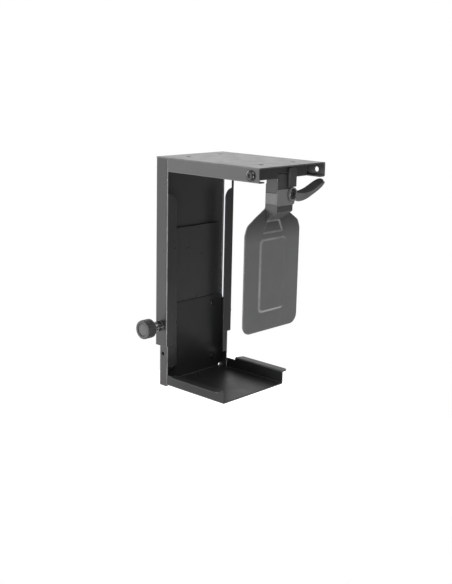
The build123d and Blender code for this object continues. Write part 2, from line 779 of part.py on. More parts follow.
# ---------------------------------------------------------------- cam lever
hub_r = 10.6
hub_back = neck_front + housing_wall + 0.3
hub_t = 5.2
hub_front = hub_back + hub_t
blade_t = 3.0
rim_t = hub_t
recess_d = 17.0
recess_deep = 2.4
bush_d = 10.0
shoulder_d = 8.0
blade_top = [(8.0, 4.5), (23.5, 4.8), (36.0, 9.0), (48.5, 14.0), (61.0, 18.4), (72.0, 19.4)]
blade_tip = [(79.0, 16.6), (80.6, 10.6)]
blade_low = [(75.5, 5.5), (62.0, -0.8), (51.0, -5.4), (38.5, -10.3), (26.0, -13.0), (12.0, -13.4), (4.0, -10.0)]
tip_points = [(pivot_y + dy, pivot_z + dz) for dy, dz in blade_tip]
top_points = [(pivot_y + dy, pivot_z + dz) for dy, dz in blade_top]
low_points = [(pivot_y + dy, pivot_z + dz) for dy, dz in blade_low]
rim_inner = [(76.0, 11.6), (60.5, 5.0), (49.0, 1.3), (36.5, -0.6), (24.0, -0.4), (8.0, 2.0)]
rim_points = [(pivot_y + dy, pivot_z + dz) for dy, dz in rim_inner]
cam_drop = lever_lift / lever_swing          # radius lost per degree of swing
cam_points = []
for angle in range(70, 181, 10):
    cam_r = hub_r - max(0.0, angle - 90.0) * cam_drop
    cam_points.append((
        pivot_y + cam_r * math.cos(math.radians(angle)),
        pivot_z + cam_r * math.sin(math.radians(angle)),
    ))
with BuildPart() as cam_lever:
    with BuildSketch(Plane.YZ.offset(hub_back)):
        with BuildLine():
            Spline(*cam_points)
            ThreePointArc(
                cam_points[-1],
                (pivot_y + 5.6, pivot_z - 8.0),
                cam_points[0],
            )
        make_face()
    extrude(amount=hub_t)
    # blade behind, rim proud along its lower edge
    with BuildSketch(Plane.YZ.offset(hub_back)):
        with BuildLine():
            Spline(*top_points)
            Spline(top_points[-1], *tip_points, low_points[0])
            Spline(*low_points)
            Line(low_points[-1], top_points[0])
        make_face()
    extrude(amount=blade_t)
    with BuildSketch(Plane.YZ.offset(hub_back)):
        with BuildLine():
            Spline(*low_points)
            Line(low_points[-1], rim_points[-1])
            Spline(*rim_points)
            Line(rim_points[0], low_points[0])
        make_face()
    extrude(amount=rim_t)
    with BuildSketch(Plane.YZ.offset(hub_front)):
        with Locations((pivot_y, pivot_z)):
            Circle(recess_d / 2)
    extrude(amount=-recess_deep, mode=Mode.SUBTRACT)
    with BuildSketch(Plane.YZ.offset(hub_front)):
        with Locations((pivot_y, pivot_z)):
            Circle(bush_d / 2)
    extrude(amount=-hub_t, mode=Mode.SUBTRACT)
save(cam_lever.part, "cam_lever")

with BuildPart() as pivot_bush:
    with BuildSketch(Plane.YZ.offset(hub_back)):
        with Locations((pivot_y, pivot_z)):
            Circle(bush_d / 2)
            Circle(shoulder_d / 2 + run_clear, mode=Mode.SUBTRACT)
    extrude(amount=hub_t - recess_deep)
save(pivot_bush.part, "pivot_bush")

pivot_head = 14.0
with BuildPart() as pivot_screw:
    with BuildSketch(Plane.YZ.offset(neck_front + housing_wall)):
        with Locations((pivot_y, pivot_z)):
            Circle(shoulder_d / 2)
    extrude(amount=hub_front - recess_deep + 0.1 - neck_front - housing_wall)
    with BuildSketch(Plane.YZ.offset(hub_front - recess_deep + 0.1)):
        with Locations((pivot_y, pivot_z)):
            Circle(pivot_head / 2)
    extrude(amount=2.8)
    chamfer(pivot_screw.faces().sort_by(Axis.X)[-1].edges(), 0.8)
    with BuildSketch(Plane.YZ.offset(hub_front + 1.0)):
        with Locations((pivot_y, pivot_z)):
            RegularPolygon(radius=3.0, side_count=6, major_radius=False)
    extrude(amount=-2.6, mode=Mode.SUBTRACT)
    with BuildSketch(Plane.YZ.offset(neck_front + housing_wall)):
        with Locations((pivot_y, pivot_z)):
            Circle(3.0)
    extrude(amount=-housing_wall - sheet - 6.0)
save(pivot_screw.part, "pivot_screw")

with BuildPart() as pivot_nut:
    with BuildSketch(Plane.YZ.offset(neck_front - sheet)):
        with Locations((pivot_y, pivot_z)):
            RegularPolygon(radius=5.0, side_count=6, major_radius=False)
            Circle(3.0, mode=Mode.SUBTRACT)
    extrude(amount=-5.0)
save(pivot_nut.part, "pivot_nut")

# ---------------------------------------------------------------- brake strap and shoe
# The strap stands on the hub's cam and presses its shoe against the beam's plate.
strap_w = 17.0
strap_t = 3.6
strap_back = hub_back + 0.2
strap_low = pivot_z + hub_r + 0.15
strap_top = -6.0
shoe_top = -sheet - 0.1
with BuildPart() as brake_strap:
    with BuildSketch(Plane.YZ.offset(strap_back)) as strap_face:
        with Locations((pivot_y, strap_low)):
            Rectangle(strap_w, strap_top - strap_low, align=(Align.CENTER, Align.MIN))
        chamfer(strap_face.vertices().group_by(Axis.Y)[-1], 3.0)
    extrude(amount=strap_t)
save(brake_strap.part, "brake_strap")

with BuildPart() as brake_shoe:
    with BuildSketch(Plane.XY.offset(strap_top)):
        with Locations((strap_back + strap_t / 2, pivot_y)):
            RectangleRounded(strap_t, strap_w - 7.0, 1.0)
    extrude(amount=shoe_top - strap_top)
save(brake_shoe.part, "brake_shoe")

guide_gap = strap_back - neck_front
with BuildPart() as strap_guide_pin:
    with BuildSketch(Plane.YZ.offset(strap_back)):
        with Locations((pivot_y, strap_slot_z + 1.0)):
            Circle(strap_slot_w / 2 - 0.2)
    extrude(amount=-guide_gap - sheet - 0.3)
    with BuildSketch(Plane.YZ.offset(neck_front - sheet - 0.3)):
        with Locations((pivot_y, strap_slot_z + 1.0)):
            Circle(4.2)
    extrude(amount=-1.5)
save(strap_guide_pin.part, "strap_guide_pin")
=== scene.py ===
import math

import bmesh
import bpy
from mathutils import Matrix, Vector


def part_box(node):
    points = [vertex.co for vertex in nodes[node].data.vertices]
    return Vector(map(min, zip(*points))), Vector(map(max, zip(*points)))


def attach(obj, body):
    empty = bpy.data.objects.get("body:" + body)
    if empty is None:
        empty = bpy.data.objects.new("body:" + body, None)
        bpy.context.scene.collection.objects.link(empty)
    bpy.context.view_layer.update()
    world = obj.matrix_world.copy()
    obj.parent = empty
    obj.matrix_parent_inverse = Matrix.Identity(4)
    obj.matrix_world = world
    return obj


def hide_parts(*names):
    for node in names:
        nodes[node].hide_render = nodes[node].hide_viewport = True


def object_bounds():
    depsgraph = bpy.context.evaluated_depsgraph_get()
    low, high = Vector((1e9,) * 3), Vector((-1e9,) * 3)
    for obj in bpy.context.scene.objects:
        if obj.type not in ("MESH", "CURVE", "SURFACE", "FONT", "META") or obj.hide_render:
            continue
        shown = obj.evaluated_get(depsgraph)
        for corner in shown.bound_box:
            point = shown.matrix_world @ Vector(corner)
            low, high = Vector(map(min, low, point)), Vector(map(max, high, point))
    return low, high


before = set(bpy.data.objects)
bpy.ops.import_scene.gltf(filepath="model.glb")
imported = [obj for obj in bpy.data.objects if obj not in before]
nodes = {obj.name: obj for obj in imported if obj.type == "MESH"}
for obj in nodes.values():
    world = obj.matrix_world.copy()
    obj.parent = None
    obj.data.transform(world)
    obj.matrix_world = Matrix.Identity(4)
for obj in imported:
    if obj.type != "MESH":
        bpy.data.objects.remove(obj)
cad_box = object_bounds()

MM = 0.001
scene = bpy.context.scene
scene.view_settings.view_transform = "Standard"


# ---------------------------------------------------------------- camera, stage and light
def make_camera():
    """Stands where the photographer stood: in front of the open end, a little above the beam."""
    eye = Vector((1.0471, -1.1648, 0.1516))
    yaw, pitch, roll = (math.radians(a) for a in (132.6, -13.3, 1.26))
    ahead = Vector((math.cos(yaw) * math.cos(pitch), math.sin(yaw) * math.cos(pitch), math.sin(pitch)))
    side = Vector((math.sin(yaw), -math.cos(yaw), 0.0))
    up = side.cross(ahead)
    right = side * math.cos(roll) + up * math.sin(roll)
    up = up * math.cos(roll) - side * math.sin(roll)
    data = bpy.data.cameras.new("camera")
    data.lens = 60.16
    data.sensor_width = 36.0
    data.clip_start, data.clip_end = 0.05, 60.0
    camera = bpy.data.objects.new("camera", data)
    camera.matrix_world = Matrix((
        (right.x, up.x, -ahead.x, eye.x),
        (right.y, up.y, -ahead.y, eye.y),
        (right.z, up.z, -ahead.z, eye.z),
        (0, 0, 0, 1),
    ))
    scene.collection.objects.link(camera)
    scene.camera = camera


def make_floor():
    """A pale floor below the tray's lowest position. The white studio goes on beyond it."""
    tray_drop, clearance = 0.1, 0.006
    level = cad_box[0].z - tray_drop - clearance
    half = 0.4
    mesh = bpy.data.meshes.new("floor")
    corners = [(-half, -half, level), (half, -half, level), (half, half, level), (-half, half, level)]
    mesh.from_pydata(corners, [], [(0, 1, 2, 3)])
    floor = bpy.data.objects.new("floor", mesh)
    scene.collection.objects.link(floor)
    pale = bpy.data.materials.new("pale_floor")
    pale.use_nodes = True
    shader = pale.node_tree.nodes["Principled BSDF"]
    shader.inputs["Base Color"].default_value = (0.85, 0.85, 0.85, 1)
    shader.inputs["Roughness"].default_value = 0.9
    shader.inputs["Specular IOR Level"].default_value = 0.1
    shader.inputs["Emission Color"].default_value = (1, 1, 1, 1)
    shader.inputs["Emission Strength"].default_value = 0.6
    mesh.materials.append(pale)


def make_key_light():
    """One square softbox, high in front of the open end."""
    place, target = Vector((1.1, -1.1, 1.9)), Vector((0, 0, -0.15))
    data = bpy.data.lights.new("key", "AREA")
    data.shape = "RECTANGLE"
    data.size = data.size_y = 0.9
    data.energy = 12
    light = bpy.data.objects.new("key", data)
    light.location = place
    light.rotation_mode = "QUATERNION"
    light.rotation_quaternion = (target - place).to_track_quat("-Z", "Y")
    scene.collection.objects.link(light)


# Panels of the studio as the object sees it: direction, cosine where each begins and is full, strength
SKY_BASE = 0.30
SKY = [
    ((-0.67, -0.72, -0.10), 0.55, 0.95, 1.7),
    ((-0.66, 0.72, 0.20), 0.60, 0.95, 0.85),
    ((0.69, -0.66, -0.23), 0.95, 0.99, 9.0),
    ((0.65, -0.22, 0.70), 0.90, 0.98, 2.0),
    ((-0.97, 0.08, 0.23), 0.92, 0.98, 5.0),
    ((0.00, 0.00, 1.00), 0.30, 1.00, 0.30),
]


def make_studio():
    """White to the camera. The object sees bright panels in a dim room, so its faces differ in tone."""
    world = bpy.data.worlds.new("studio")
    world.use_nodes = True
    tree = world.node_tree
    toward = tree.nodes.new("ShaderNodeTexCoord").outputs["Generated"]
    total = None
    for direction, begins, full, strength in SKY:
        dot = tree.nodes.new("ShaderNodeVectorMath")
        dot.operation = "DOT_PRODUCT"
        tree.links.new(toward, dot.inputs[0])
        dot.inputs[1].default_value = Vector(direction).normalized()
        panel = tree.nodes.new("ShaderNodeMapRange")
        panel.interpolation_type = "SMOOTHSTEP"
        tree.links.new(dot.outputs["Value"], panel.inputs["Value"])
        for socket, number in zip(("From Min", "From Max", "To Min", "To Max"), (begins, full, 0, strength)):
            panel.inputs[socket].default_value = number
        add = tree.nodes.new("ShaderNodeMath")
        add.inputs[1].default_value = SKY_BASE
        tree.links.new(panel.outputs["Result"], add.inputs[0])
        if total:
            tree.links.new(total, add.inputs[1])
        total = add.outputs[0]
    seen = tree.nodes.new("ShaderNodeMix")
    seen.inputs["B"].default_value = 1.0
    tree.links.new(tree.nodes.new("ShaderNodeLightPath").outputs["Is Camera Ray"], seen.inputs["Factor"])
    tree.links.new(total, seen.inputs["A"])
    background = tree.nodes["Background"]
    background.inputs["Color"].default_value = (1, 1, 1, 1)
    tree.links.new(seen.outputs["Result"], background.inputs["Strength"])
    scene.world = world


make_camera()
make_floor()
make_studio()
make_key_light()


# ---------------------------------------------------------------- materials
class Graph:
    """A material's nodes, added one call each."""

    def __init__(self, name):
        self.material = bpy.data.materials.new(name)
        self.material.use_nodes = True
        self.tree = self.material.node_tree
        self.shader = self.tree.nodes["Principled BSDF"]
        self.place = self.add("ShaderNodeTexCoord").outputs["Object"]

    def add(self, kind, **settings):
        node = self.tree.nodes.new(kind)
        for key, value in settings.items():
            setattr(node, key, value)
        return node

    def link(self, source, target):
        self.tree.links.new(source, target)

    def noise(self, scale, detail, rough=0.5):
        """Noise whose features are about 1 / scale metres wide."""
        node = self.add("ShaderNodeTexNoise")
        node.inputs["Scale"].default_value = scale
        node.inputs["Detail"].default_value = detail
        node.inputs["Roughness"].default_value = rough
        self.link(self.place, node.inputs["Vector"])
        return node.outputs["Fac"]

    def remap(self, value, low_in, high_in, low_out, high_out):
        node = self.add("ShaderNodeMapRange")
        for socket, number in zip(("From Min", "From Max", "To Min", "To Max"),
                                  (low_in, high_in, low_out, high_out)):
            node.inputs[socket].default_value = number
        self.link(value, node.inputs["Value"])
        return node.outputs["Result"]

    def spread(self, scale, detail, low, high, rough=0.5):
        """Noise whose usual span, 0.3 to 0.7, is stretched to run from low to high."""
        return self.remap(self.noise(scale, detail, rough), 0.3, 0.7, low, high)

    def times(self, a, b):
        node = self.add("ShaderNodeMath", operation="MULTIPLY")
        self.link(a, node.inputs[0])
        self.link(b, node.inputs[1])
        return node.outputs[0]

    def mix(self, share, first, second):
        """Colours mixed by share; each is a colour or a socket."""
        node = self.add("ShaderNodeMix", data_type="RGBA")
        colour_a, colour_b, colour_out = node.inputs[6], node.inputs[7], node.outputs[2]
        self.link(share, node.inputs["Factor"])
        for socket, colour in ((colour_a, first), (colour_b, second)):
            if isinstance(colour, tuple):
                socket.default_value = (*colour, 1)
            else:
                self.link(colour, socket)
        return colour_out

    def bump(self, height, distance, strength, under=None):
        node = self.add("ShaderNodeBump")
        node.inputs["Distance"].default_value = distance
        node.inputs["Strength"].default_value = strength
        self.link(height, node.inputs["Height"])
        if under:
            self.link(under, node.inputs["Normal"])
        return node.outputs["Normal"]

    def edge(self, radius):
        """(normal rounded over sharp edges, mask that is 1 on those edges)."""
        soft = self.add("ShaderNodeBevel", samples=6)
        soft.inputs["Radius"].default_value = radius
        flat = self.add("ShaderNodeNewGeometry").outputs["Normal"]
        dot = self.add("ShaderNodeVectorMath", operation="DOT_PRODUCT")
        self.link(soft.outputs["Normal"], dot.inputs[0])
        self.link(flat, dot.inputs[1])
        mask = self.remap(dot.outputs["Value"], 0.97, 0.80, 0.0, 1.0)
        return soft.outputs["Normal"], mask

    def height(self):
        """Metres above the desk face, so negative all over the object."""
        parts = self.add("ShaderNodeSeparateXYZ")
        self.link(self.place, parts.inputs[0])
        return parts.outputs[2]

    def bends(self):
        """1 where the surface faces between two of the part's main directions, as a fold does; it places a
        painted highlight on folds.
        """
        normal = self.add("ShaderNodeNewGeometry").outputs["Normal"]
        size = self.add("ShaderNodeVectorMath", operation="ABSOLUTE")
        self.link(normal, size.inputs[0])
        parts = self.add("ShaderNodeSeparateXYZ")
        self.link(size.outputs[0], parts.inputs[0])
        most = parts.outputs[0]
        for other in parts.outputs[1:]:
            larger = self.add("ShaderNodeMath", operation="MAXIMUM")
            self.link(most, larger.inputs[0])
            self.link(other, larger.inputs[1])
            most = larger.outputs[0]
        return self.remap(most, 0.97, 0.84, 0.0, 1.0)

    def finish(self, colour, rough, normal):
        for socket, source in (("Base Color", colour), ("Roughness", rough), ("Normal", normal)):
            self.link(source, self.shader.inputs[socket])
        return self.material


def coated_steel(name, dark, light, gloss=(0.27, 0.36), wear_and_highlight_tone=0.16, painted_shade=None, sheen=0.5):
    """Powder coat: fine orange peel, patchy colour and gloss, edges lighter as wear and as a painted
    highlight, folds lighter as a painted highlight.

    Given two heights, painted shade darkens the coat from the first height up to the second, standing in for
    a shadow.
    """
    g = Graph(name)
    soft, mask = g.edge(0.9 * MM)
    colour = g.mix(g.spread(7, 5, 0, 1, rough=0.6), dark, light)
    # Painted shade: the coat darkens higher up, standing in for shade falling from above.
    if painted_shade:
        colour = g.mix(g.remap(g.height(), *painted_shade, 0.0, 0.8), colour, tuple(0.3 * c for c in dark))
    # Edges are painted lighter, partly as wear and partly as a highlight; folds are painted lighter as a
    # highlight.
    patchy = g.spread(60, 3, 0.45, 1.0)
    for wear_and_highlight in (mask, g.bends()):
        colour = g.mix(g.times(wear_and_highlight, patchy), colour, (wear_and_highlight_tone,) * 3)
    rough = g.spread(38, 4, *gloss)
    normal = g.bump(g.noise(420, 1), 0.06 * MM, 0.15, soft)
    normal = g.bump(g.noise(1500, 2), 0.02 * MM, 0.2, normal)
    g.shader.inputs["Specular IOR Level"].default_value = sheen
    return g.finish(colour, rough, normal)


def moulded(name, dark, light, gloss=(0.36, 0.46), grain=2200, depth=0.35, wear_and_highlight=2.2):
    """Moulded plastic: spark-eroded grain, faint flow marks, edges lighter as wear; a large edge factor
    paints a highlight there too.
    """
    g = Graph(name)
    soft, mask = g.edge(0.5 * MM)
    colour = g.mix(g.spread(30, 3, 0, 1), dark, light)
    # Edges painted lighter: wear, and with a large factor a painted highlight.
    edge_wear_and_highlight = g.times(mask, g.remap(g.noise(300, 2), 0.4, 0.7, 0.1, 0.5))
    colour = g.mix(edge_wear_and_highlight, colour, tuple(min(1, wear_and_highlight * c) for c in light))
    rough = g.spread(70, 3, *gloss)
    normal = g.bump(g.noise(grain, 3), 0.05 * MM, depth, soft)
    return g.finish(colour, rough, normal)


def plated(name, dark, light, gloss=(0.24, 0.4), metal=1.0):
    """Plated or blackened metal: fine grain, mottled colour and sheen, brighter edges."""
    g = Graph(name)
    soft, mask = g.edge(0.4 * MM)
    colour = g.mix(g.spread(160, 4, 0, 1), dark, light)
    colour = g.mix(g.times(mask, g.noise(500, 2)), colour, tuple(min(1, 1.8 * c) for c in light))
    rough = g.spread(220, 3, *gloss)
    normal = g.bump(g.noise(1800, 2), 0.03 * MM, 0.3, soft)
    g.shader.inputs["Metallic"].default_value = metal
    return g.finish(colour, rough, normal)


def foam(name):
    """Closed-cell foam: small open pores on a dull skin."""
    g = Graph(name)
    cells = g.add("ShaderNodeTexVoronoi")
    cells.inputs["Scale"].default_value = 900
    g.link(g.place, cells.inputs["Vector"])
    pores = g.remap(cells.outputs["Distance"], 0.0, 0.7, 0, 1)
    colour = g.mix(pores, (0.012, 0.012, 0.013), (0.040, 0.040, 0.042))
    normal = g.bump(pores, 0.3 * MM, 0.6)
    return g.finish(colour, g.spread(50, 3, 0.8, 0.95), normal)


# One black powder coat in lit and shaded copies: the base colours differ to paint in light and shade,
# lightest on the beam and the pad, darkest on the tray.
STEEL = coated_steel("powder_black", (0.018, 0.018, 0.019), (0.024, 0.024, 0.025))
BEAM = coated_steel("powder_black_beam", (0.052, 0.052, 0.053), (0.062, 0.062, 0.063))
TRAY = coated_steel("powder_black_tray", (0.015, 0.016, 0.016), (0.021, 0.022, 0.022),
                    gloss=(0.34, 0.42), wear_and_highlight_tone=0.08, sheen=0.3)
# The pad's copy is painted lighter as lit, its top painted darker as the shade and dark reflection of the
# beam above, and its rims painted lighter as a highlight.
PRESSED = coated_steel("powder_black_pressed", (0.088, 0.089, 0.089), (0.108, 0.109, 0.109),
                       gloss=(0.20, 0.27), wear_and_highlight_tone=0.20, painted_shade=(-0.122, -0.088))
HANGER = coated_steel("powder_black_hanger", (0.034, 0.034, 0.035), (0.044, 0.044, 0.045), wear_and_highlight_tone=0.06)
STRAP = coated_steel("powder_black_strap", (0.028, 0.028, 0.029), (0.040, 0.040, 0.041))
HOUSING = moulded("housing_plastic", (0.118, 0.117, 0.117), (0.142, 0.141, 0.141), depth=0.2)
# The lever's rim and recesses are lit and shaded copies of one plastic: the rim painted lighter as a
# highlight, the recesses darker as shade.
LEVER_RIM_LIT = moulded("lever_rim", (0.085, 0.085, 0.086), (0.105, 0.105, 0.106), gloss=(0.24, 0.32), depth=0.2)
LEVER_RECESS_SHADED = moulded("lever_recess", (0.012, 0.012, 0.012), (0.018, 0.018, 0.018),
                 gloss=(0.5, 0.6), grain=1500, depth=0.5)
# The knob's edges are painted far lighter: a painted highlight on top of wear.
KNOB = moulded("knob_plastic", (0.026, 0.026, 0.027), (0.038, 0.038, 0.039),
               gloss=(0.18, 0.26), depth=0.15, wear_and_highlight=9)
# The knob's disc is painted lighter than the knob, as a painted reflection.
CAP = moulded("knob_disc", (0.060, 0.060, 0.061), (0.075, 0.075, 0.077), gloss=(0.34, 0.44))
PLASTIC = moulded("black_plastic", (0.030, 0.030, 0.031), (0.042, 0.042, 0.044), gloss=(0.30, 0.42))
ACETAL = moulded("black_acetal", (0.016, 0.016, 0.017), (0.024, 0.024, 0.026),
                 gloss=(0.28, 0.38), grain=1400, depth=0.2)
RUBBER = moulded("shoe_rubber", (0.016, 0.016, 0.016), (0.026, 0.026, 0.026),
                 gloss=(0.7, 0.85), grain=900, depth=0.5)
SLEEVE = plated("plunger_sleeve", (0.10, 0.10, 0.10), (0.22, 0.22, 0.22), gloss=(0.16, 0.26))
ZINC = plated("zinc_steel", (0.50, 0.50, 0.49), (0.66, 0.66, 0.64))
OXIDE = plated("black_oxide", (0.040, 0.040, 0.042), (0.080, 0.080, 0.083), gloss=(0.14, 0.22), metal=0.8)
BRONZE = plated("bronze", (0.42, 0.28, 0.12), (0.58, 0.40, 0.20), gloss=(0.4, 0.55))
FOAM = foam("liner_foam")


# ---------------------------------------------------------------- mesh tools
def piece(name, body, material, node, rings=None, closed=True, build=None, sharp=35.0):
    """A mesh piece that rides on a body in place of a CAD node.

    It is skinned over rings of points in metres, or made by a function that fills an empty bmesh.
    """
    bm = bmesh.new()
    if rings:
        skin(bm, rings, closed)
    if build:
        build(bm)
    bmesh.ops.recalc_face_normals(bm, faces=bm.faces)
    mesh = bpy.data.meshes.new(name)
    bm.to_mesh(mesh)
    bm.free()
    for face in mesh.polygons:
        face.use_smooth = True
    mesh.set_sharp_from_angle(angle=math.radians(sharp))
    mesh.materials.append(material)
    made = bpy.data.objects.new(name, mesh)
    scene.collection.objects.link(made)
    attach(made, body)
    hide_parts(node)
    return made


def skin(bm, rings, closed=True):
    """Quads between neighbouring rings, with a face over the first and the last if closed."""
    rows = [[bm.verts.new(point) for point in ring] for ring in rings]
    count = len(rows[0])
    for low, high in zip(rows, rows[1:]):
        for i in range(count):
            j = (i + 1) % count
            bm.faces.new((low[i], low[j], high[j], high[i]))
    if closed:
        bm.faces.new(rows[0])
        bm.faces.new(rows[-1])


def rounded(corners, radii, steps=10):
    """A closed outline whose corners are arcs."""
    outline = []
    count = len(corners)
    for i, radius in enumerate(radii):
        before, here, after = (Vector(corners[(i + k) % count]) for k in (-1, 0, 1))
        back, on = (before - here).normalized(), (after - here).normalized()
        angle = back.angle(on)
        start = here + back * (radius / math.tan(angle / 2))
        centre = here + (back + on).normalized() * (radius / math.sin(angle / 2))
        turn = (math.pi - angle) * (1 if back.x * on.y - back.y * on.x < 0 else -1)
        arm = start - centre
        for k in range(steps + 1):
            a = turn * k / steps
            outline.append((
                centre.x + arm.x * math.cos(a) - arm.y * math.sin(a),
                centre.y + arm.x * math.sin(a) + arm.y * math.cos(a),
            ))
    return outline


def inset(outline, amount):
    """The outline moved inwards (counter-clockwise outlines)."""
    moved = []
    count = len(outline)
    for i in range(count):
        before, here, after = (Vector(outline[(i + k) % count]) for k in (-1, 0, 1))
        ways = [d.normalized() for d in (here - before, after - here) if d.length > 1e-9]
        along = sum(ways, Vector((0, 0))).normalized()
        inward = Vector((-along.y, along.x))
        cosine = max(0.4, inward.dot(Vector((-ways[0].y, ways[0].x))))
        moved.append(tuple(here + inward * (amount / cosine)))
    return moved


def plate_rings(outline, low, high, rim, steps=4):
    """Rings of a plate between two places on X, with rounded rims (counter-clockwise outlines)."""
    quarter = [math.pi / 2 * k / steps for k in range(steps + 1)]
    levels = [(a, low + rim * (1 - math.cos(a))) for a in quarter]
    levels += [(a, high - rim * (1 - math.cos(a))) for a in reversed(quarter)]
    return [[(x, y, z) for y, z in inset(outline, rim * (1 - math.sin(a)))] for a, x in levels]


HEX = "hex"    # marks a profile point whose ring is a hexagon


def turned(profile, centre, axis, steps=72, radius_at=None):
    """Rings of a turned shape. The profile holds (along, radius) or (along, half width, HEX).

    radius_at changes the radius with the angle, as on a fluted knob or a cam.
    """
    axis = Vector(axis).normalized()
    first = axis.orthogonal().normalized()
    second = axis.cross(first)
    rings = []
    for along, radius, *shape in profile:
        ring = []
        for k in range(steps):
            angle = 2 * math.pi * k / steps
            reach = radius
            if shape:
                reach = radius / math.cos((angle + math.pi / 6) % (math.pi / 3) - math.pi / 6)
            elif radius_at:
                reach = radius_at(angle, radius)
            ring.append(Vector(centre) + axis * along
                        + (first * math.cos(angle) + second * math.sin(angle)) * reach)
        rings.append(ring)
    return rings


def arc(centre, radius, start, end, steps=6):
    """(along, radius) points on an arc, angles in degrees from the along direction."""
    along, out = centre
    points = []
    for k in range(steps + 1):
        a = math.radians(start + (end - start) * k / steps)
        points.append((along + radius * math.cos(a), out + radius * math.sin(a)))
    return points


def middle(node):
    low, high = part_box(node)
    return (low + high) / 2


# ---------------------------------------------------------------- side pad
SHEET = 2 * MM
PANEL_HALF_Y, PANEL_HALF_Z, PANEL_MIDDLE_Z, PANEL_CORNER = 33.2 * MM, 60.2 * MM, -176 * MM, 10 * MM
PANEL_RISE, PANEL_SLOPE = 2.6 * MM, 5.4 * MM
POCKET_TOP, POCKET_LOW, POCKET_CORNER = -87.5 * MM, -110.5 * MM, 3.5 * MM
POCKET_HALF_TOP, POCKET_HALF_LOW = 16.2 * MM, 27.4 * MM
POCKET_SINK, POCKET_SLOPE = 2.4 * MM, 5.0 * MM
pad_low, pad_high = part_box("pad_plate")
pad_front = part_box("pad_liner")[1].x + SHEET


def depth_inside(past_side, past_end, corner):
    """How deep a point lies inside an outline with round corners, from how far it is past two edges."""
    a, b = past_side + corner, past_end + corner
    return corner - math.hypot(max(a, 0), max(b, 0)) - min(max(a, b), 0)


def ease(t):
    t = min(1.0, max(0.0, t))
    return t * t * (3 - 2 * t)


def pad_height(y, z):
    """How far the pressed sheet stands out of its plane: a raised panel, and above it a sunk pocket."""
    panel = depth_inside(abs(y) - PANEL_HALF_Y, abs(z - PANEL_MIDDLE_Z) - PANEL_HALF_Z, PANEL_CORNER)
    lean = (POCKET_HALF_LOW - POCKET_HALF_TOP) / (POCKET_TOP - POCKET_LOW)
    past_side = (abs(y) - POCKET_HALF_TOP - (POCKET_TOP - z) * lean) / math.hypot(1, lean)
    pocket = depth_inside(past_side, max(z - POCKET_TOP, POCKET_LOW - z), POCKET_CORNER)
    return PANEL_RISE * ease(panel / PANEL_SLOPE) - POCKET_SINK * ease(pocket / POCKET_SLOPE)


def pad_outline():
    """Half of it is mirrored: neck, shoulder, then the wide part with its round foot."""
    half, foot = pad_high.y / MM, pad_low.z / MM
    right = [(19, -30), (19, -69), (44, -83), (61, -94), (half, -107), (half, foot)]
    radii = [2.0, 6.0, 10.0, 14.0, 18.0, 16.0]
    corners = right + [(-y, z) for y, z in reversed(right)]
    outline = rounded(corners, radii + radii[::-1])
    return [(y * MM, z * MM) for y, z in outline]


def spaced(low, high, fine_zones, fine, coarse):
    """Cut places from low to high, closer together inside the fine zones."""
    places, here = [], low
    while here < high:
        near = any(a <= here <= b for a, b in fine_zones)
        here += fine if near else coarse
        places.append(here)
    return places


def build_pad(bm):
    """A flat face cut into a grid, pressed to shape."""
    bm.faces.new([bm.verts.new((pad_front, y, z)) for y, z in pad_outline()])
    slopes_y = [(-36 * MM, -8 * MM), (8 * MM, 36 * MM)]
    slopes_z = [(-240 * MM, -224 * MM), (-128 * MM, -84 * MM)]
    neck_z = -60 * MM
    cuts_y = spaced(pad_low.y, pad_high.y, slopes_y, 1 * MM, 3 * MM)
    cuts_z = spaced(pad_low.z, neck_z, slopes_z, 1 * MM, 4 * MM)
    for way, cuts in ((Vector((0, 1, 0)), cuts_y), (Vector((0, 0, 1)), cuts_z)):
        for cut in cuts:
            everything = list(bm.verts) + list(bm.edges) + list(bm.faces)
            bmesh.ops.bisect_plane(bm, geom=everything, dist=1e-6, plane_co=way * cut, plane_no=way)
    for vertex in bm.verts:
        vertex.co.x += pad_height(vertex.co.y, vertex.co.z)


def make_pad():
    """The pressed face, thickened towards its back, with its rim rounded off."""
    pad = piece("pad_sheet", "pad_unit", PRESSED, "pad_plate", build=build_pad, sharp=60)
    thick = pad.modifiers.new("sheet", "SOLIDIFY")
    thick.thickness = SHEET
    thick.offset = -1
    rim = pad.modifiers.new("rim", "BEVEL")
    rim.width = 0.7 * MM
    rim.segments = 3
    rim.limit_method = "ANGLE"
    rim.angle_limit = math.radians(60)


def make_liner():
    low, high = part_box("pad_liner")
    corners = [(low.y, low.z), (high.y, low.z), (high.y, high.z), (low.y, high.z)]
    outline = rounded(corners, [12 * MM] * 4)
    liner = piece("pad_foam", "pad_unit", FOAM, "pad_liner",
                  rings=plate_rings(outline, low.x, high.x, 1.1 * MM))


make_pad()
make_liner()


# ---------------------------------------------------------------- knob and plunger
KNOB_AXIS = (0, -1, 0)


def flute(angle, radius):
    """The knob's grip: shallow grooves that fade away from its widest part."""
    count, depth = 24, 0.8 * MM
    begins, full = 14.0 * MM, 15.5 * MM
    share = ease((radius - begins) / (full - begins))
    wave = 0.5 + 0.5 * math.cos(count * angle)
    return radius - depth * share * wave ** 3


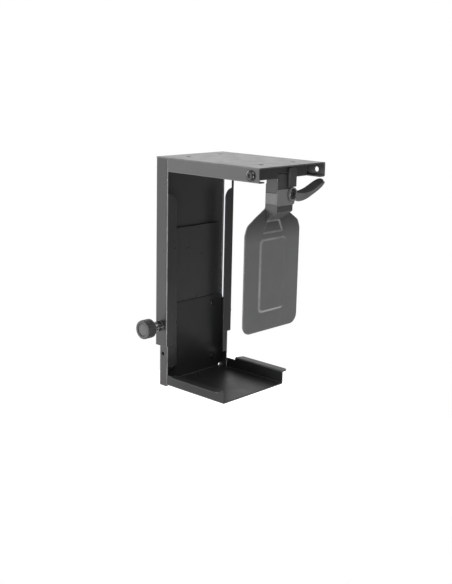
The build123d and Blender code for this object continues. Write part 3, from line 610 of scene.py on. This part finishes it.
def make_knob():
    low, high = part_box("plunger_knob")
    centre = Vector((middle("plunger_knob").x, high.y, middle("plunger_knob").z))
    length, radius = high.y - low.y, (high.z - low.z) / 2
    bore, bore_deep = 8.7 * MM, 8.2 * MM
    face, face_deep = 10.5 * MM, 2.4 * MM
    round_back, round_front = 2.0 * MM, 1.8 * MM
    profile = [(bore_deep, 2.0 * MM), (bore_deep, bore), (0.4 * MM, bore), (0, bore + 0.4 * MM)]
    profile += [(0, 11.5 * MM), (1.0 * MM, 12.6 * MM)]
    profile += arc((3.2 * MM + round_back, radius - round_back), round_back, 180, 90)
    profile += [(length * t, radius) for t in (0.35, 0.5, 0.65, 0.8)]
    profile += arc((length - round_front, radius - round_front), round_front, 90, 0)
    profile += [(length, face + 1.2 * MM), (length - 0.3 * MM, face + 0.3 * MM), (length - 0.8 * MM, face)]
    profile += [(length - face_deep, face)]
    piece("knob_grip", "plunger", KNOB, "plunger_knob",
          rings=turned(profile, centre, KNOB_AXIS, 192, flute))


def make_cap():
    low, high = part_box("knob_cap")
    centre = Vector((middle("knob_cap").x, high.y, middle("knob_cap").z))
    gap, round_edge = 0.3 * MM, 0.7 * MM
    height, radius = high.y - low.y, (high.z - low.z) / 2 - gap
    profile = [(0, radius)] + arc((height - round_edge, radius - round_edge), round_edge, 90, 10, 5)
    profile += [(height + 0.15 * MM, radius * 0.6), (height + 0.25 * MM, radius * 0.2)]
    piece("knob_disc", "plunger", CAP, "knob_cap",
          rings=turned(profile, centre, KNOB_AXIS))


def make_sleeve():
    """Fixed sleeve of the plunger: a collar at the flange, a turned body and a cone nose."""
    low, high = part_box("plunger_body")
    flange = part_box("wall_channel")[0].y
    centre = Vector((middle("plunger_body").x, flange, middle("plunger_body").z))
    radius = (high.z - low.z) / 2
    nose = flange - low.y
    inside = high.y - flange
    thread, groove = 6.0 * MM, radius - 0.5 * MM
    pin, stem, cavity = 3.05 * MM, 2.05 * MM, 4.8 * MM
    cavity_from, cavity_to = 0.5 * MM, 17 * MM
    profile = [(-inside, pin), (-inside, 5.7 * MM), (-inside + 0.4 * MM, thread), (0, thread)]
    profile += [(0, radius - 0.4 * MM), (0.4 * MM, radius)]
    profile += [(2.6 * MM, radius), (2.9 * MM, groove), (3.5 * MM, groove), (3.8 * MM, radius)]
    profile += [(11.9 * MM, radius), (12.5 * MM, radius - 0.9 * MM)]
    profile += [(nose - 0.5 * MM, 5.8 * MM), (nose, 5.3 * MM), (nose, stem), (cavity_to, stem)]
    profile += [(cavity_to, cavity), (cavity_from, cavity), (cavity_from, pin), (-inside, pin)]
    piece("plunger_sleeve", "frame", SLEEVE, "plunger_body",
          rings=turned(profile, centre, KNOB_AXIS), closed=False)


def make_spring():
    """A helix in the sleeve's cavity, its turns closer together at both ends."""
    low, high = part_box("plunger_spring")
    centre = Vector((middle("plunger_spring").x, high.y, middle("plunger_spring").z))
    wire = 0.4 * MM
    coil = (high.z - low.z) / 2 - wire
    length = high.y - low.y - 2 * wire
    turns, steps, sides = 4.5, 24, 8
    across = Vector((0, 1, 0))
    count = int(turns * steps)
    rings = []
    for k in range(count + 1):
        share = k / count
        angle = 2 * math.pi * turns * share
        along = wire + length * ease(0.5 + (share - 0.5) * 0.86)
        out = Vector((math.cos(angle), 0, math.sin(angle)))
        spot = centre + out * coil - across * along
        around = [2 * math.pi * j / sides for j in range(sides)]
        rings.append([spot + (out * math.cos(b) + across * math.sin(b)) * wire for b in around])
    piece("plunger_coil", "plunger", ZINC, "plunger_spring", rings=rings)


def make_plug():
    low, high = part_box("spare_hole_plug")
    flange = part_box("wall_channel")[1].y
    centre = Vector((middle("spare_hole_plug").x, flange, middle("spare_hole_plug").z))
    out, reach = high.y - flange, flange - low.y
    radius, hole, round_edge = (high.z - low.z) / 2, 6.0 * MM, 2 * MM
    dish = out - 0.7 * MM
    profile = [(-reach, 5.2 * MM), (-reach + 0.6 * MM, hole), (0, hole), (0, radius)]
    profile += arc((out - round_edge, radius - round_edge), round_edge, 90, 0, 7)
    profile += [(out, 5.0 * MM), (dish, 4.4 * MM), (dish, 1 * MM)]
    piece("hole_plug", "frame", PLASTIC, "spare_hole_plug",
          rings=turned(profile, centre, (0, 1, 0)))


make_knob()
make_cap()
make_sleeve()
make_spring()
make_plug()


# ---------------------------------------------------------------- screws and rivets
def button_head(radius, height, socket, deep, stem, reach):
    """Profile of a button-head screw, from its tip to the bottom of its hex socket."""
    flat, rim, steps = socket * 1.32, 1.1 * MM, 7
    profile = [(-reach, stem - 0.6 * MM), (-reach + 0.6 * MM, stem), (0, stem), (0, radius - 0.2 * MM)]
    profile += [(0.3 * MM, radius), (rim, radius)]
    for k in range(1, steps + 1):
        a = k / steps * math.pi / 2
        profile.append((rim + (height - rim) * math.sin(a) ** 0.9,
                        radius - (radius - flat) * (1 - math.cos(a)) ** 0.8))
    profile += [(height, socket * 1.12), (height - 0.25 * MM, socket, HEX), (height - deep, socket, HEX)]
    profile += [(height - deep - 0.4 * MM, socket * 0.3)]
    return profile


def make_stop_screw():
    low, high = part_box("end_stop_screw")
    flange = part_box("top_beam")[0].y
    centre = Vector((middle("end_stop_screw").x, flange, middle("end_stop_screw").z))
    profile = button_head((high.z - low.z) / 2, flange - low.y, 2.5 * MM, 2.6 * MM, 4 * MM, high.y - flange)
    piece("stop_screw", "frame", OXIDE, "end_stop_screw",
          rings=turned(profile, centre, KNOB_AXIS))


def domed(height, radius):
    """Profile of a rivet head: a straight rim to half its height, then a dome."""
    rim = height / 2
    crown = [(rim + (height - rim) * math.sin(a), radius * math.cos(a)) for a in (0.25, 0.55, 0.9, 1.25)]
    return [(0, radius - 0.15 * MM), (0.1 * MM, radius), (rim, radius)] + crown


def make_rivets():
    """Tray rivets: four through the leg, one clinched flush in the floor. Pad rivets: two rows."""
    leg_face, channel_back = -101 * MM, -105 * MM
    foot_x, floor_low, floor_top = -86.5 * MM, -386 * MM, -382.05 * MM
    hanger_face, pad_face = 72 * MM, 76 * MM

    def rivet(bm, profile, place, axis):
        skin(bm, turned(profile, place, axis, 40))

    def build_tray(bm):
        for y in (-48 * MM, 48 * MM):
            for z in (-262 * MM, -362 * MM):
                rivet(bm, domed(1.4 * MM, 4.4 * MM), (leg_face, y, z), (1, 0, 0))
                rivet(bm, domed(1.2 * MM, 3.9 * MM), (channel_back, y, z), (-1, 0, 0))
        flush = [(0, 2.2 * MM), (0.15 * MM, 2.4 * MM), (floor_top - floor_low, 2.4 * MM)]
        rivet(bm, flush, (foot_x, 0, floor_low), (0, 0, 1))

    def build_hanger(bm):
        for y in (-14 * MM, 14 * MM):
            for z in (-40 * MM, -72 * MM):
                rivet(bm, domed(1.3 * MM, 3.5 * MM), (hanger_face, y, z), (-1, 0, 0))
                rivet(bm, domed(1.0 * MM, 2.8 * MM), (pad_face, y, z), (1, 0, 0))

    piece("leg_rivets", "tray_unit", OXIDE, "tray_rivets", build=build_tray)
    piece("hanger_rivets", "pad_unit", OXIDE, "pad_rivets", build=build_hanger)


def make_pivot_screw():
    """A shoulder screw: its head and shoulder hold the lever, its thinner thread goes into the hanger."""
    low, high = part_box("pivot_screw")
    hub = middle("pivot_screw")
    head, shoulder, thread = 2.8 * MM, 4 * MM, 3 * MM
    seat = high.x - head
    shoulder_end = 97.5 * MM
    shoulder_long, thread_end = seat - shoulder_end, seat - low.x
    profile = [(-thread_end, thread - 0.5 * MM), (-thread_end + 0.5 * MM, thread), (-shoulder_long, thread)]
    profile += button_head((high.z - low.z) / 2, head, 3.0 * MM, 2.4 * MM, shoulder, shoulder_long)[1:]
    piece("cam_screw", "pad_unit", OXIDE, "pivot_screw",
          rings=turned(profile, (seat, hub.y, hub.z), (1, 0, 0)))


make_stop_screw()
make_rivets()
make_pivot_screw()


# ---------------------------------------------------------------- cam lever
# Stations from the hub to the tip: low edge, inner edge of the rim, top edge, in mm from the pivot.
LEVER = [
    ((6.0, -9.6), (7.0, 1.6), (6.5, 5.0)),
    ((14.0, -13.0), (14.5, 0.6), (13.5, 4.2)),
    ((26.0, -12.9), (23.5, -0.4), (21.0, 4.8)),
    ((38.5, -10.1), (35.0, -0.6), (31.0, 7.2)),
    ((51.0, -5.3), (46.0, 0.6), (42.0, 11.4)),
    ((62.0, -0.7), (57.5, 4.2), (53.5, 15.9)),
    ((70.0, 3.2), (67.5, 8.6), (64.5, 18.8)),
    ((75.0, 6.2), (73.2, 11.2), (72.0, 18.9)),
    ((78.2, 9.4), (77.4, 12.6), (76.6, 17.2)),
    ((79.6, 12.6), (79.5, 13.6), (79.2, 15.0)),
]
# Section: share of the way from low edge (0) to rim's inner edge (1) to top edge (2), share of the depth.
# Its recess, painted dark as shade, runs between two of these points.
LEVER_SECTION = [
    (0.0, 0.42), (0.03, 0.66), (0.12, 0.85), (0.28, 0.96), (0.50, 1.0), (0.72, 0.97), (0.90, 0.86),
    (1.0, 0.70), (1.05, 0.52), (1.14, 0.43), (1.40, 0.36), (1.70, 0.38), (1.86, 0.46), (1.94, 0.55),
    (1.99, 0.44), (2.0, 0.26), (1.95, 0.08), (1.82, 0.0), (1.0, 0.0), (0.20, 0.0), (0.06, 0.08), (0.0, 0.22),
]
RECESS_FROM, RECESS_TO = 7, 15
HUB_RADIUS, HUB_RECESS, HUB_SUNK = 10.45 * MM, 7.9 * MM, 2.4 * MM
CAM_DROP, CAM_SWING = 1.6 * MM, 60


def smooth_row(points, steps=5):
    """Catmull-Rom through the points."""
    row = []
    ends = [points[0]] + list(points) + [points[-1]]
    for i in range(len(points) - 1):
        p0, p1, p2, p3 = ends[i:i + 4]
        for k in range(steps):
            t = k / steps
            row.append(0.5 * (2 * p1 + (p2 - p0) * t + (2 * p0 - 5 * p1 + 4 * p2 - p3) * t * t
                              + (3 * p1 - p0 - 3 * p2 + p3) * t ** 3))
    row.append(points[-1])
    return row


def cam_radius(angle, radius):
    """The hub as a cam: from its top round to the left it loses the brake's lift, then comes back.

    Only the hub's outside changes. The recess in its face stays round.
    """
    first_direction, top, back_from, back_over = 45, 90, 190, 60
    turn = (math.degrees(angle) + first_direction) % 360
    fall = min(1.0, max(0.0, (turn - top) / CAM_SWING)) * (1 - ease((turn - back_from) / back_over))
    return radius - CAM_DROP * fall * ease((radius - HUB_RECESS) / CAM_DROP)


def lever_rings(low, depth, hub):
    """The lever's section, set out at each place along its three smooth rows."""
    rows = [smooth_row([Vector(station[i]) * MM for station in LEVER]) for i in range(3)]
    rings = []
    for low_edge, inner, top in zip(*rows):
        ring = []
        for share, deep in LEVER_SECTION:
            if share <= 1:
                spot = low_edge.lerp(inner, share)
            else:
                spot = inner.lerp(top, share - 1)
            ring.append((low.x + depth * deep, hub.y + spot.x, hub.z + spot.y))
        rings.append(ring)
    return rings


def make_lever():
    """A curved lever and its round hub. The recesses in both are painted darker than their rims as shade,
    and the rims lighter as a highlight.
    """
    low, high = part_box("cam_lever")
    hub = middle("pivot_bush")
    depth = high.x - low.x
    bore, round_edge = 5 * MM, 1.1 * MM
    floor = depth - HUB_SUNK
    rim = [(0, bore), (0, HUB_RADIUS - 0.5 * MM), (0.5 * MM, HUB_RADIUS)]
    rim += arc((depth - round_edge, HUB_RADIUS - round_edge), round_edge, 90, 0, 5)
    recess = [(depth - 0.3 * MM, HUB_RECESS + 0.1 * MM), (depth - 0.8 * MM, HUB_RECESS - 0.1 * MM)]
    recess += [(floor, HUB_RECESS - 0.2 * MM), (floor, bore), (0, bore)]
    blade = lever_rings(low, depth, hub)
    hub_rings = turned(rim + recess, (low.x, hub.y, hub.z), (1, 0, 0), radius_at=cam_radius)
    dark = 1

    def build(bm):
        skin(bm, blade)
        blade_faces = len(bm.faces)
        skin(bm, hub_rings, closed=False)
        bm.faces.ensure_lookup_table()
        bm.faces.index_update()
        around, end_faces = len(LEVER_SECTION), 2
        for face in bm.faces[:blade_faces - end_faces]:
            if RECESS_FROM <= face.index % around < RECESS_TO:
                face.material_index = dark
        for face in bm.faces[blade_faces + len(rim) * len(hub_rings[0]):]:
            face.material_index = dark

    lever = piece("cam_handle", "lever", LEVER_RIM_LIT, "cam_lever", build=build, sharp=50)
    lever.data.materials.append(LEVER_RECESS_SHADED)


make_lever()


# ---------------------------------------------------------------- folded sheets and small CAD pieces
def finish_node(name, material):
    mesh = nodes[name].data
    mesh.materials.clear()
    mesh.materials.append(material)


# Every CAD node has a finish, and so have the ones that a piece stands for.
FINISHES = {
    BEAM: ["top_beam"],
    STEEL: ["wall_channel", "inner_channel", "carriage_plate"],
    HANGER: ["hanger_bracket"],
    TRAY: ["tray"],
    PRESSED: ["pad_plate"],
    STRAP: ["brake_strap"],
    HOUSING: ["clamp_housing"],
    PLASTIC: ["plunger_knob", "knob_cap", "spare_hole_plug", "cam_lever"],
    ACETAL: ["inner_glides", "wall_glides", "carriage_runners"],
    RUBBER: ["brake_shoe"],
    ZINC: ["plunger_pin", "plunger_spring", "plunger_nut", "end_stop_nut",
           "carriage_bolts", "carriage_nuts", "pivot_nut", "strap_guide_pin"],
    OXIDE: ["end_stop_screw", "pivot_screw", "plunger_body", "tray_rivets", "pad_rivets"],
    BRONZE: ["pivot_bush"],
    FOAM: ["pad_liner"],
}
for material, names in FINISHES.items():
    for name in names:
        finish_node(name, material)
